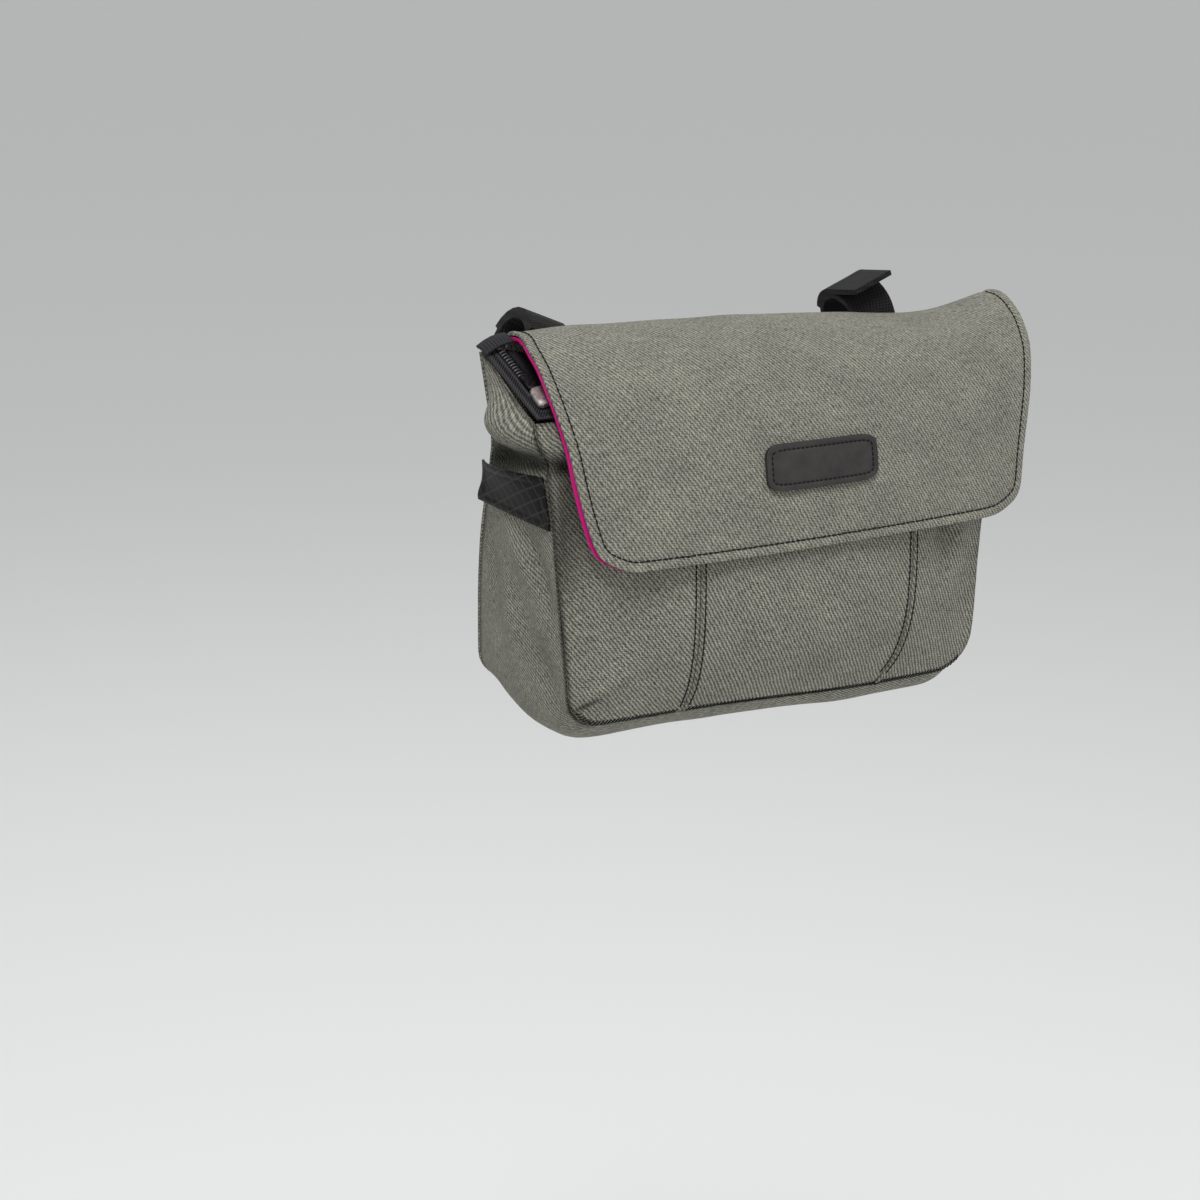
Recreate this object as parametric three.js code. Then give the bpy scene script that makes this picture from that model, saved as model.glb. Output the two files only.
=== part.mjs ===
import * as THREE from 'three';

// Bicycle handlebar bag: a small messenger bag of twill that hangs from the handlebar by two straps.
// Millimetres, +Z up. The bag's front faces -Y and +X is on the right of someone who looks at it.
// The origin is on the handlebar's axis, at the middle of the bag's width.

// Handlebar and the seat of the bag on it
const bar_diameter = 22.2;
const bar_clearance = 0.3;
const back_above_bar = 12;
const seam_gap = 0.3;

// Body
const back_top_width = 256;
const front_top_width = 240;
const bottom_width = 204;
const body_height = 160;
const top_depth = 37;
const bottom_depth = 78;
const hang_back = 49;
const back_rim_drop = 6;
const front_rim_drop = 29;
const corner_radius = 17;
const cloth = 1.6;
const crown_depth = 18;
const side_bulge = 4.5;
const bottom_bulge = 11.5;
const bottom_fullness = 0.55;
const right_tuck = 8.5;
const right_sag = 3.8;
const sag_from = -45;
const sag_to = 60;
const seam_spread = 112;
const seam_shift = 2;
const seam_draw_in = 6;
const right_seam_bow = 4.5;
const bow_low = 2.4;

// Flap
const flap_top_width = 250;
const flap_hem_width = 216;
const flap_reach = 57;
const flap_drop = 89.5;
const hem_rise = 2.5;
const flap_shift = 3;
const flap_left_draw = 4.5;
const flap_corner_radius = 13;
const flap_dip = 6.5;
const dip_reach = 30;
const lining = 1.1;

// Label patch
const label_width = 56;
const label_height = 19.2;
const label_shift = 2;
const label_thickness = 1.8;
const label_corner = 3.5;
const label_drop = 54;

// Zip round the opening, and the lid inside it
const tape_width = 4.6;
const tape_thickness = 1.1;
const zip_slope = 42;
const zip_end_gap = 1;
const coil_width = 3.2;
const coil_height = 1.6;
const lid_thickness = 1.4;
const lid_sag = 9;
const slider_length = 9;
const slider_width = 7;
const slider_height = 2.6;
const slider_place = 0.96;
const slider_lift = 0.5;
const metal_corner = 2;
const zip_end_length = 8;
const zip_end_overhang = 1.5;
const zip_end_rise = 1;
const zip_end_foot = 2.5;
const zip_end_fall = 2.4;
const pull_length = 9;
const pull_width = 5;
const pull_thickness = 1.4;

// Bands across the two ends of the bag
const band_height = 22;
const band_drop = 51;
const band_thickness = 1;
const band_slack = 3.5;

// Bar straps
const strap_width = 20;
const strap_thickness = 2.2;
const strap_wrap = 66;
const layer_from = 20;
const layer_to = 145;
const tab_from = 97;
const tab_rise = 2.5;
const left_strap_place = -98;
const right_strap_place = 68;
const left_strap_lift = 1.5;
const right_strap_lift = 6;
const strap_rise = 22;
const tab_length = 19;

const bar_radius = bar_diameter / 2;
const strap_inner = bar_radius + bar_clearance;
const back_y = -(strap_inner + strap_thickness + seam_gap);
const seam_step = cloth + seam_gap;

// Bag coordinates: across is +X, forward is towards the front from the back's top edge, drop is down
function place(across, forward, drop) {
  return new THREE.Vector3(across, back_y - forward, back_above_bar - drop);
}

// Value of one column of a table at a place along its key column, eased between the rows
function lookup(table, key, column, at) {
  const last = table.length - 1;
  if (at <= table[0][key]) return table[0][column];
  if (at >= table[last][key]) return table[last][column];
  let row = 0;
  while (table[row + 1][key] < at) row += 1;
  const from = table[row];
  const to = table[row + 1];
  const before = table[Math.max(row - 1, 0)];
  const after = table[Math.min(row + 2, last)];
  const step = to[key] - from[key];
  const t = (at - from[key]) / step;
  const start_slope = (to[column] - before[column]) / (to[key] - before[key]);
  const end_slope = (after[column] - from[column]) / (after[key] - from[key]);
  return (2 * t ** 3 - 3 * t ** 2 + 1) * from[column] + (t ** 3 - 2 * t ** 2 + t) * step * start_slope
    + (3 * t ** 2 - 2 * t ** 3) * to[column] + (t ** 3 - t ** 2) * step * end_slope;
}

function mix(from, to, share) {
  return from + (to - from) * share;
}

// Normal of a grid of points at one of them, on the side that the columns and rows turn towards
function gridNormal(grid, row, col) {
  const rows = grid.length - 1;
  const cols = grid[0].length - 1;
  const along_cols = grid[row][Math.min(col + 1, cols)].clone().sub(grid[row][Math.max(col - 1, 0)]);
  const along_rows = grid[Math.min(row + 1, rows)][col].clone().sub(grid[Math.max(row - 1, 0)][col]);
  return along_cols.cross(along_rows).normalize();
}

// Closed body between two grids of the same size, the first on the side that its normals face
function bodyBetween(front, back) {
  const rows = front.length;
  const cols = front[0].length;
  const positions = [];
  const index = [];
  for (const grid of [front, back]) {
    for (const row of grid) row.forEach((point) => positions.push(point.x, point.y, point.z));
  }
  const at = (side, row, col) => side * rows * cols + row * cols + col;
  const quad = (a, b, c, d) => index.push(a, b, c, a, c, d);
  for (let row = 0; row + 1 < rows; row += 1) {
    for (let col = 0; col + 1 < cols; col += 1) {
      quad(at(0, row, col), at(0, row, col + 1), at(0, row + 1, col + 1), at(0, row + 1, col));
      quad(at(1, row, col), at(1, row + 1, col), at(1, row + 1, col + 1), at(1, row, col + 1));
    }
  }
  for (let col = 0; col + 1 < cols; col += 1) {
    quad(at(0, 0, col), at(1, 0, col), at(1, 0, col + 1), at(0, 0, col + 1));
    quad(at(0, rows - 1, col), at(0, rows - 1, col + 1), at(1, rows - 1, col + 1), at(1, rows - 1, col));
  }
  for (let row = 0; row + 1 < rows; row += 1) {
    quad(at(0, row, 0), at(0, row + 1, 0), at(1, row + 1, 0), at(1, row, 0));
    quad(at(0, row, cols - 1), at(1, row, cols - 1), at(1, row + 1, cols - 1), at(0, row + 1, cols - 1));
  }
  const geometry = new THREE.BufferGeometry();
  geometry.setAttribute('position', new THREE.Float32BufferAttribute(positions, 3));
  geometry.setIndex(index);
  geometry.computeVertexNormals();
  return geometry;
}

// Copy of a grid, each point moved along the grid's normal
function offsetGrid(grid, distance) {
  return grid.map((points, row) => points.map((point, col) => (
    point.clone().addScaledVector(gridNormal(grid, row, col), distance))));
}

// Sheet of even thickness whose face is the grid; its normals face out
function sheet(grid, thickness) {
  return bodyBetween(grid, offsetGrid(grid, -thickness));
}

// Body of the bag, down the height: how far forward the side seam of the front lies, the crown of its
// middle, the lean of the back and how far the right end is drawn in, as shares of the named sizes
const body_table = [
  { drop: 0.03, side: 0.88, crown: 0.14, lean: 0.00, tuck: 0.0 },
  { drop: 0.15, side: 0.89, crown: 0.16, lean: 0.00, tuck: 0.2 },
  { drop: 0.25, side: 0.97, crown: 0.40, lean: 0.01, tuck: 0.6 },
  { drop: 0.34, side: 1.00, crown: 0.66, lean: 0.14, tuck: 0.9 },
  { drop: 0.44, side: 1.01, crown: 0.83, lean: 0.33, tuck: 1.0 },
  { drop: 0.56, side: 0.97, crown: 0.97, lean: 0.53, tuck: 1.0 },
  { drop: 0.69, side: 0.94, crown: 1.00, lean: 0.70, tuck: 0.7 },
  { drop: 0.80, side: 0.91, crown: 0.90, lean: 0.82, tuck: 0.3 },
  { drop: 0.90, side: 0.88, crown: 0.60, lean: 0.92, tuck: 0.0 },
  { drop: 0.96, side: 0.83, crown: 0.30, lean: 0.97, tuck: 0.0 },
  { drop: 1.00, side: 0.78, crown: 0.08, lean: 1.00, tuck: 0.0 },
];

function sideForward(drop) {
  const bottom_forward = bottom_depth - hang_back;
  const bottom_reach = bottom_forward / body_table[body_table.length - 1].side;
  const reach = mix(top_depth, bottom_reach, Math.min(drop / body_height, 1));
  return reach * lookup(body_table, 'drop', 'side', drop / body_height);
}

function frontForward(across, drop, half) {
  const crown = crown_depth * lookup(body_table, 'drop', 'crown', drop / body_height);
  return sideForward(drop) + crown * (1 - (across / half) ** 2);
}

function backForward(drop) {
  return -hang_back * lookup(body_table, 'drop', 'lean', drop / body_height);
}

// Depth that a panel's wall and its seam take at a drop, more where the panel slants
function seamDepth(forward, drop) {
  const above = forward(drop) - forward(drop - 1);
  const below = forward(drop + 1) - forward(drop);
  return seam_step * Math.hypot(1, Math.max(Math.abs(above), Math.abs(below)));
}

// Half width of a panel at a drop, along its straight side
function halfAt(top_width, rim_drop, drop) {
  return mix(top_width / 2, bottom_width / 2, (drop - rim_drop) / (body_height - rim_drop));
}

// How far a point at a place across the bag moves left, because the right end is drawn in
function tuckAt(across, drop) {
  const share = Math.max(0, across / (back_top_width / 2));
  return right_tuck * share * lookup(body_table, 'drop', 'tuck', drop / body_height);
}
function sagAt(across, drop) {
  return right_sag * THREE.MathUtils.smoothstep(across, sag_from, sag_to) * (drop / body_height) ** 3;
}

// Left half of a panel's outline: down the slanted side, round the corner and in to the middle
const side_steps = 18;
const corner_steps = 6;
const bottom_steps = 6;
function halfOutline(top_width, rim_drop) {
  const lean = Math.atan2((top_width - bottom_width) / 2, body_height - rim_drop);
  const turn = Math.PI / 2 - lean;
  const tangent = corner_radius * Math.tan(turn / 2);
  const centre = { across: tangent - bottom_width / 2, drop: body_height - corner_radius };
  const side_end = body_height - tangent * Math.cos(lean);
  const points = [];
  for (let i = 0; i <= side_steps; i += 1) {
    const drop = mix(rim_drop, side_end, i / side_steps);
    points.push({ across: -halfAt(top_width, rim_drop, drop), drop });
  }
  for (let i = 1; i <= corner_steps; i += 1) {
    const angle = lean + turn * i / corner_steps;
    points.push({
      across: centre.across - corner_radius * Math.cos(angle),
      drop: centre.drop + corner_radius * Math.sin(angle),
    });
  }
  for (let i = 1; i <= bottom_steps; i += 1) {
    points.push({ across: centre.across * (1 - i / bottom_steps), drop: body_height });
  }
  return points;
}

function wholeOutline(half) {
  const right = half.slice(0, -1).reverse().map((point) => ({ across: -point.across, drop: point.drop }));
  return half.concat(right);
}

const front_half = halfOutline(front_top_width, front_rim_drop);
const back_half = halfOutline(back_top_width, back_rim_drop);
const side_rows = side_steps + corner_steps;

function seamAcross(side, drop) {
  const bow = right_seam_bow * Math.max(0, side) * Math.sin(Math.PI * (drop / body_height) ** bow_low);
  return seam_shift + side * (seam_spread / 2 - seam_draw_in * (drop / body_height) ** 3) + bow;
}

// Part of the front between two edges that are functions of the row
function frontGrid(left_edge, right_edge, cols) {
  const grid = [];
  for (let row = 0; row <= side_rows; row += 1) {
    const edge = front_half[row];
    const half = halfAt(front_top_width, front_rim_drop, edge.drop);
    const left = left_edge(edge);
    const right = right_edge(edge);
    const points = [];
    for (let col = 0; col <= cols; col += 1) {
      const across = mix(left, right, col / cols);
      const forward = frontForward(across, edge.drop, half);
      points.push(place(across - tuckAt(across, edge.drop), forward, edge.drop + sagAt(across, edge.drop)));
    }
    grid.push(points.reverse());
  }
  return grid;
}

const half_gap = seam_gap / 2;
function frontPanelLeft() {
  return frontGrid((edge) => edge.across, (edge) => seamAcross(-1, edge.drop) - half_gap, 5);
}

function frontPanelCentre() {
  const left = (edge) => seamAcross(-1, edge.drop) + half_gap;
  const right = (edge) => seamAcross(1, edge.drop) - half_gap;
  return frontGrid(left, right, 8);
}

function frontPanelRight() {
  return frontGrid((edge) => seamAcross(1, edge.drop) + half_gap, (edge) => -edge.across, 5);
}

// Dip of the flap's top line below a straight one, as shares of flap_dip, from its left edge to its right
const dip_table = [
  { across: -1.00, dip: 0.00 },
  { across: -0.60, dip: -0.10 },
  { across: 0.00, dip: 0.15 },
  { across: 0.40, dip: 0.60 },
  { across: 0.68, dip: 1.00 },
  { across: 0.84, dip: 0.45 },
  { across: 1.00, dip: -0.15 },
];

function dipAt(across) {
  const side = (across - flap_shift) / (flap_top_width / 2);
  return flap_dip * lookup(dip_table, 'across', 'dip', THREE.MathUtils.clamp(side, -1, 1));
}

function backPanel() {
  const cols = 16;
  const grid = [];
  for (let row = 0; row <= side_rows; row += 1) {
    const edge = back_half[row];
    const points = [];
    const near_top = Math.max(0, 1 - (edge.drop - back_rim_drop) / dip_reach);
    for (let col = 0; col <= cols; col += 1) {
      const across = mix(edge.across, -edge.across, col / cols);
      const drop = edge.drop + near_top * dipAt(across);
      const level = drop + sagAt(across, drop);
      points.push(place(across - tuckAt(across, edge.drop), backForward(edge.drop), level));
    }
    grid.push(points);
  }
  return grid;
}

// How far the bag's ends swell or sink, as shares of side_bulge, down the height
const bulge_table = [
  { drop: 0.05, swell: 0.0 },
  { drop: 0.14, swell: 0.4 },
  { drop: 0.24, swell: 1.0 },
  { drop: 0.32, swell: 0.7 },
  { drop: 0.40, swell: 0.1 },
  { drop: 0.50, swell: 0.2 },
  { drop: 0.66, swell: 0.7 },
  { drop: 0.86, swell: 0.6 },
  { drop: 1.00, swell: 1.0 },
];

function endSwell(drop, share) {
  return side_bulge * lookup(bulge_table, 'drop', 'swell', drop / body_height) * Math.sin(Math.PI * share);
}
function swellAt(drop, share, run) {
  const under_base = bottom_bulge * Math.sin(Math.PI * share ** bottom_fullness);
  return mix(endSwell(drop, share), under_base, run.x ** 2);
}

// Gusset: one strip down the left end, along the bottom and up the right end, from front to back
const gusset_cols = 7;
const gusset_crowding = 1.3;
function gussetGrid() {
  const fronts = wholeOutline(front_half);
  const backs = wholeOutline(back_half);
  const last = fronts.length - 1;
  return fronts.map((front, i) => {
    const back = backs[i];
    const before = fronts[Math.max(i - 1, 0)];
    const after = fronts[Math.min(i + 1, last)];
    const run = new THREE.Vector2(after.across - before.across, after.drop - before.drop).normalize();
    const half = halfAt(front_top_width, front_rim_drop, front.drop);
    const near = frontForward(front.across, front.drop, half) - seamDepth(sideForward, front.drop);
    const far = backForward(back.drop) + seamDepth(backForward, back.drop);
    const points = [];
    for (let col = 0; col <= gusset_cols; col += 1) {
      const share = (col / gusset_cols) ** gusset_crowding;
      const drop = mix(front.drop, back.drop, share);
      const swell = swellAt(drop, share, run);
      const across = mix(front.across, back.across, share) - run.y * swell;
      const level = drop + run.x * swell + sagAt(across, drop);
      points.push(place(across - tuckAt(across, drop), mix(near, far, share), level));
    }
    return points;
  });
}

// Zip: rim line of the opening from the back left corner round the front to the back right corner.
// Each station holds the rim point and the level way into the opening, mitred at the front corners.
const rim_side_steps = 8;
const rim_front_steps = 12;
function rimLine() {
  const corner_forward = sideForward(front_rim_drop);
  const start_forward = seam_step + lining + zip_end_gap;
  const corner = { across: -front_top_width / 2, forward: corner_forward, drop: front_rim_drop };
  const start = { across: -back_top_width / 2, forward: start_forward, drop: back_rim_drop };
  const left = [];
  for (let i = 0; i < rim_side_steps; i += 1) {
    const share = i / rim_side_steps;
    left.push({
      point: place(mix(start.across, corner.across, share), mix(start.forward, corner.forward, share),
        mix(start.drop, corner.drop, share)),
      inward: new THREE.Vector3(1, share, 0),
      slope: zip_slope * share,
    });
  }
  const front = [];
  for (let i = 0; i <= rim_front_steps; i += 1) {
    const across = mix(corner.across, -corner.across, i / rim_front_steps);
    front.push({
      point: place(across, frontForward(across, front_rim_drop, front_top_width / 2), front_rim_drop),
      inward: new THREE.Vector3(across / corner.across, 1, 0),
      slope: zip_slope,
    });
  }
  const right = left.slice().reverse().map((station) => ({
    point: new THREE.Vector3(-station.point.x, station.point.y, station.point.z),
    inward: new THREE.Vector3(-station.inward.x, station.inward.y, 0),
    slope: station.slope,
  }));
  return left.concat(front, right);
}

const tape_seat = seam_gap + tape_thickness;
// Strip that follows the rim between two distances up the zip's slope, raised above it by a lift
function rimStrip(from, to, lift, cols) {
  return rimLine().map(({ point, inward, slope }) => {
    const angle = THREE.MathUtils.degToRad(slope);
    const points = [];
    for (let col = 0; col <= cols; col += 1) {
      const width = mix(from, to, col / cols);
      points.push(point.clone()
        .addScaledVector(inward, width * Math.cos(angle))
        .add(new THREE.Vector3(0, 0, tape_seat + lift + width * Math.sin(angle))));
    }
    return points.reverse();
  });
}

const coil_from = tape_width + seam_gap;
const coil_to = coil_from + coil_width;
const lid_from = coil_to + seam_gap + lid_thickness;

// Lid: the cloth inside the zip, sewn on behind, which closes the bag under the flap
function lidGrid() {
  const edge = rimStrip(lid_from, lid_from, 0, 1).map((points) => points[0]);
  const grid = [];
  for (let row = 0; row < rim_side_steps; row += 1) {
    const left = edge[row];
    const points = [];
    for (let col = 0; col <= rim_front_steps; col += 1) {
      const share = col / rim_front_steps;
      const sag = lid_sag * (1 - row / rim_side_steps) * (1 - (2 * share - 1) ** 6);
      points.push(new THREE.Vector3(mix(left.x, -left.x, share), left.y, left.z - sag));
    }
    grid.push(points.reverse());
  }
  grid.push(edge.slice(rim_side_steps, rim_side_steps + rim_front_steps + 1).reverse());
  return grid;
}

// Flap: from the back's top edge over the opening and down the front. The rows give its edge and its
// middle as shares of flap_reach and flap_drop, how wide it is between the top and the hem, and how
// much of the dip in its top line it takes.
const flap_foot = (back_rim_drop - seam_gap) / flap_drop;
const flap_table = [
  { edge_out: 0, mid_out: 0, edge_drop: flap_foot, mid_drop: flap_foot, narrow: 0, dip: 1, draw: 1.3 },
  { edge_out: 0.01, mid_out: 0.01, edge_drop: 0.005, mid_drop: 0.005, narrow: 0, dip: 1, draw: 1.3 },
  { edge_out: 0.07, mid_out: 0.07, edge_drop: -0.018, mid_drop: -0.018, narrow: 0.01, dip: 1, draw: 1.3 },
  { edge_out: 0.23, mid_out: 0.25, edge_drop: -0.015, mid_drop: -0.015, narrow: 0.03, dip: 1, draw: 1.2 },
  { edge_out: 0.385, mid_out: 0.43, edge_drop: 0.03, mid_drop: 0.022, narrow: 0.06, dip: 0.7, draw: 0.8 },
  { edge_out: 0.51, mid_out: 0.59, edge_drop: 0.09, mid_drop: 0.08, narrow: 0.11, dip: 0.35, draw: 0.65 },
  { edge_out: 0.64, mid_out: 0.74, edge_drop: 0.19, mid_drop: 0.18, narrow: 0.21, dip: 0.1, draw: 0.4 },
  { edge_out: 0.715, mid_out: 0.835, edge_drop: 0.31, mid_drop: 0.305, narrow: 0.33, dip: 0, draw: 0.45 },
  { edge_out: 0.765, mid_out: 0.9, edge_drop: 0.44, mid_drop: 0.435, narrow: 0.46, dip: 0, draw: 0.6 },
  { edge_out: 0.795, mid_out: 0.955, edge_drop: 0.59, mid_drop: 0.59, narrow: 0.6, dip: 0, draw: 0.65 },
  { edge_out: 0.83, mid_out: 0.99, edge_drop: 0.745, mid_drop: 0.745, narrow: 0.75, dip: 0, draw: 0.75 },
  { edge_out: 0.87, mid_out: 1, edge_drop: 0.87, mid_drop: 0.87, narrow: 0.87, dip: 0, draw: 0.95 },
  { edge_out: 0.905, mid_out: 1, edge_drop: 1, mid_drop: 1, narrow: 1, dip: 0, draw: 1 },
].map((row, i, rows) => ({ ...row, along: i / (rows.length - 1) }));

function flapHalf(along) {
  return mix(flap_top_width, flap_hem_width, lookup(flap_table, 'along', 'narrow', along)) / 2;
}

// Point of the flap's outer face at a share of its width and a share of the way to the hem
function flapPoint(side, along) {
  const bow = 1 - side ** 2;
  const value = (column) => lookup(flap_table, 'along', column, along);
  const forward = flap_reach * mix(value('edge_out'), value('mid_out'), bow);
  const dip = flap_dip * value('dip') * lookup(dip_table, 'across', 'dip', side);
  const rise = hem_rise * (1 + side) / 2 * value('narrow');
  const drop = flap_drop * mix(value('edge_drop'), value('mid_drop'), bow) + dip - rise;
  const draw = flap_left_draw * value('draw') * Math.max(0, -side);
  return place(flap_shift + side * flapHalf(along) + draw, forward, drop);
}

const flap_rows = 26;
const flap_cols = 16;
function flapGrid() {
  const corner_share = flap_corner_radius / flap_drop;
  const grid = [];
  for (let row = 0; row <= flap_rows; row += 1) {
    const along = row / flap_rows;
    const drop_share = lookup(flap_table, 'along', 'edge_drop', along);
    const into_corner = Math.max(0, (drop_share - 1 + corner_share) / corner_share);
    const cut = flap_corner_radius * (1 - Math.sqrt(Math.max(0, 1 - into_corner ** 2)));
    const reach = 1 - cut / flapHalf(along);
    const points = [];
    for (let col = 0; col <= flap_cols; col += 1) {
      points.push(flapPoint(reach * mix(1, -1, col / flap_cols), along));
    }
    grid.push(points);
  }
  return grid;
}

// Label patch: a rounded rectangle that lies on the flap
function labelGrid() {
  const rows = 8;
  const cols = 10;
  const grid = [];
  for (let row = 0; row <= rows; row += 1) {
    const height = label_height * (row / rows - 0.5);
    const into_corner = Math.max(0, Math.abs(height) - label_height / 2 + label_corner) / label_corner;
    const cut = label_corner * (1 - Math.sqrt(Math.max(0, 1 - into_corner ** 2)));
    const half = label_width / 2 - cut;
    const drop_share = (label_drop + height) / flap_drop;
    const along = alongAtDrop(drop_share);
    const points = [];
    for (let col = 0; col <= cols; col += 1) {
      points.push(flapPoint((mix(half, -half, col / cols) - label_shift) / flapHalf(along), along));
    }
    grid.push(points);
  }
  return grid;
}

// Share of the way to the hem at which the flap's middle has a given drop
function alongAtDrop(drop_share) {
  let low = 0.4;
  let high = 1;
  for (let i = 0; i < 40; i += 1) {
    const middle = (low + high) / 2;
    if (lookup(flap_table, 'along', 'mid_drop', middle) < drop_share) low = middle;
    else high = middle;
  }
  return (low + high) / 2;
}

// Band across one end of the bag, sewn into the seams at its front and back, slack between
function bandGrid(side) {
  const rows = 4;
  const cols = 9;
  const grid = [];
  for (let row = 0; row <= rows; row += 1) {
    const points = [];
    for (let col = 0; col <= cols; col += 1) {
      const share = col / cols;
      const drop = band_drop + band_height * (row / rows) * mix(1, 0.85, share);
      const near = sideForward(drop) - seamDepth(sideForward, drop);
      const far = backForward(drop) + seamDepth(backForward, drop);
      const half = mix(halfAt(front_top_width, front_rim_drop, drop),
        halfAt(back_top_width, back_rim_drop, drop), share);
      const slack = band_slack * Math.sin(Math.PI * Math.min(share * 0.6, 1)) * mix(1, 0.5, row / rows);
      const out = half + endSwell(drop, share) + band_thickness + seam_gap * 2 + slack;
      points.push(place(side * out - tuckAt(side * out, drop), mix(near, far, share), drop));
    }
    grid.push(side < 0 ? points : points.reverse());
  }
  return grid;
}

// Bar strap: a closed loop round the bar with a flat side on the bag's back, two layers thick on top,
// where its end is pressed down. The outline is drawn across the bar, with the bag on the left.
function strapCorner(radius) {
  const wrap = THREE.MathUtils.degToRad(strap_wrap);
  return new THREE.Vector2(-radius, -radius * (1 + Math.cos(wrap)) / Math.sin(wrap));
}

function strapShape(tab) {
  const turn = THREE.MathUtils.degToRad;
  const outer = strap_inner + strap_thickness;
  const layer = outer + strap_thickness;
  const steps = 8;
  const shape = new THREE.Shape();
  const arc = (path, radius, from, to) => {
    for (let i = 0; i <= steps; i += 1) {
      const angle = turn(mix(from, to, i / steps));
      path.lineTo(radius * Math.cos(angle), radius * Math.sin(angle));
    }
  };
  const outer_corner = strapCorner(outer);
  shape.moveTo(outer_corner.x, outer_corner.y);
  arc(shape, outer, 180, tab ? tab_from : layer_to);
  if (tab) {
    shape.lineTo(-tab_length, outer + tab_rise);
    shape.lineTo(-tab_length, layer + tab_rise);
    arc(shape, layer, 90, layer_from);
  } else {
    arc(shape, layer, layer_to, layer_from);
  }
  arc(shape, outer, layer_from, -strap_wrap);
  const inner_corner = strapCorner(strap_inner);
  const hole = new THREE.Path();
  hole.moveTo(inner_corner.x, inner_corner.y);
  arc(hole, strap_inner, -strap_wrap, 90);
  arc(hole, strap_inner, 101, 180);
  shape.holes.push(hole);
  return shape;
}

function strapMesh(name, place_across, lift, tab) {
  const geometry = new THREE.ExtrudeGeometry(strapShape(tab), { depth: strap_width, bevelEnabled: false });
  geometry.translate(0, 0, -strap_width / 2);
  geometry.rotateX(Math.PI / 2);
  geometry.rotateZ(Math.PI / 2);
  const mesh = new THREE.Mesh(geometry, materials.webbing);
  mesh.name = name;
  mesh.rotation.y = THREE.MathUtils.degToRad(Math.sign(place_across) * -strap_rise);
  mesh.position.set(place_across, 0, lift);
  return mesh;
}

// Zip slider on the coil near the left front corner, with its pull laid back over it
function zipBlock(length, width, height, offset) {
  const outline = new THREE.Shape();
  const corner = metal_corner;
  const x = length / 2 - corner;
  const y = width / 2 - corner;
  outline.absarc(x, y, corner, 0, Math.PI / 2, false);
  outline.absarc(-x, y, corner, Math.PI / 2, Math.PI, false);
  outline.absarc(-x, -y, corner, Math.PI, Math.PI * 1.5, false);
  outline.absarc(x, -y, corner, Math.PI * 1.5, Math.PI * 2, false);
  const settings = { depth: height, bevelEnabled: false, curveSegments: 4 };
  const geometry = new THREE.ExtrudeGeometry(outline, settings);
  const strip = rimStrip(coil_from, coil_to, coil_height - tape_thickness + seam_gap + slider_lift, 1);
  const at = slider_place * rim_side_steps;
  const low = Math.floor(at);
  const middle = (row) => strip[row][0].clone().add(strip[row][1]).multiplyScalar(0.5);
  const along = middle(low + 1).sub(middle(low)).normalize();
  const side = strip[low][0].clone().sub(strip[low][1]);
  const normal = along.clone().cross(side).normalize();
  const basis = new THREE.Matrix4().makeBasis(along, normal.clone().cross(along), normal);
  basis.setPosition(middle(low).lerp(middle(low + 1), at - low).addScaledVector(along, offset));
  return geometry.applyMatrix4(basis);
}

const pull_offset = -(slider_length + pull_length) / 2 - seam_gap;

// Black end tab of the zip at one back corner
function zipEndGrid(side) {
  const rows = 4;
  const cols = 4;
  const drawn_in = flap_left_draw * flap_table[0].draw * Math.max(0, -side);
  const flap_edge = flap_top_width / 2 + side * flap_shift - drawn_in;
  const from = flap_edge + seam_gap * 2;
  const grid = [];
  for (let row = 0; row <= rows; row += 1) {
    const run = row / rows;
    const points = [];
    for (let col = 0; col <= cols; col += 1) {
      const share = col / cols;
      const across = mix(from, back_top_width / 2 + zip_end_overhang, share);
      const drop = mix(-zip_end_rise, back_rim_drop - zip_end_foot, share ** 2) + zip_end_fall * run ** 2;
      points.push(place(side * across, mix(0, zip_end_length, run), drop));
    }
    grid.push(side < 0 ? points : points.reverse());
  }
  return grid;
}

const materials = {
  twill: new THREE.MeshStandardMaterial({ color: 0x80816f, roughness: 0.95, metalness: 0 }),
  lining: new THREE.MeshStandardMaterial({ color: 0xb8186a, roughness: 0.6, metalness: 0 }),
  zip: new THREE.MeshStandardMaterial({ color: 0x2b292d, roughness: 0.8, metalness: 0 }),
  coil: new THREE.MeshStandardMaterial({ color: 0x46444a, roughness: 0.5, metalness: 0 }),
  metal: new THREE.MeshStandardMaterial({ color: 0xcdc3b9, roughness: 0.3, metalness: 1 }),
  label: new THREE.MeshStandardMaterial({ color: 0x4a4646, roughness: 0.6, metalness: 0 }),
  ripstop: new THREE.MeshStandardMaterial({ color: 0x302c2e, roughness: 0.7, metalness: 0 }),
  webbing: new THREE.MeshStandardMaterial({ color: 0x28262a, roughness: 0.85, metalness: 0 }),
};

const bag = new THREE.Group();
function add(name, geometry, material) {
  const mesh = new THREE.Mesh(geometry, material);
  mesh.name = name;
  bag.add(mesh);
  return mesh;
}

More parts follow.
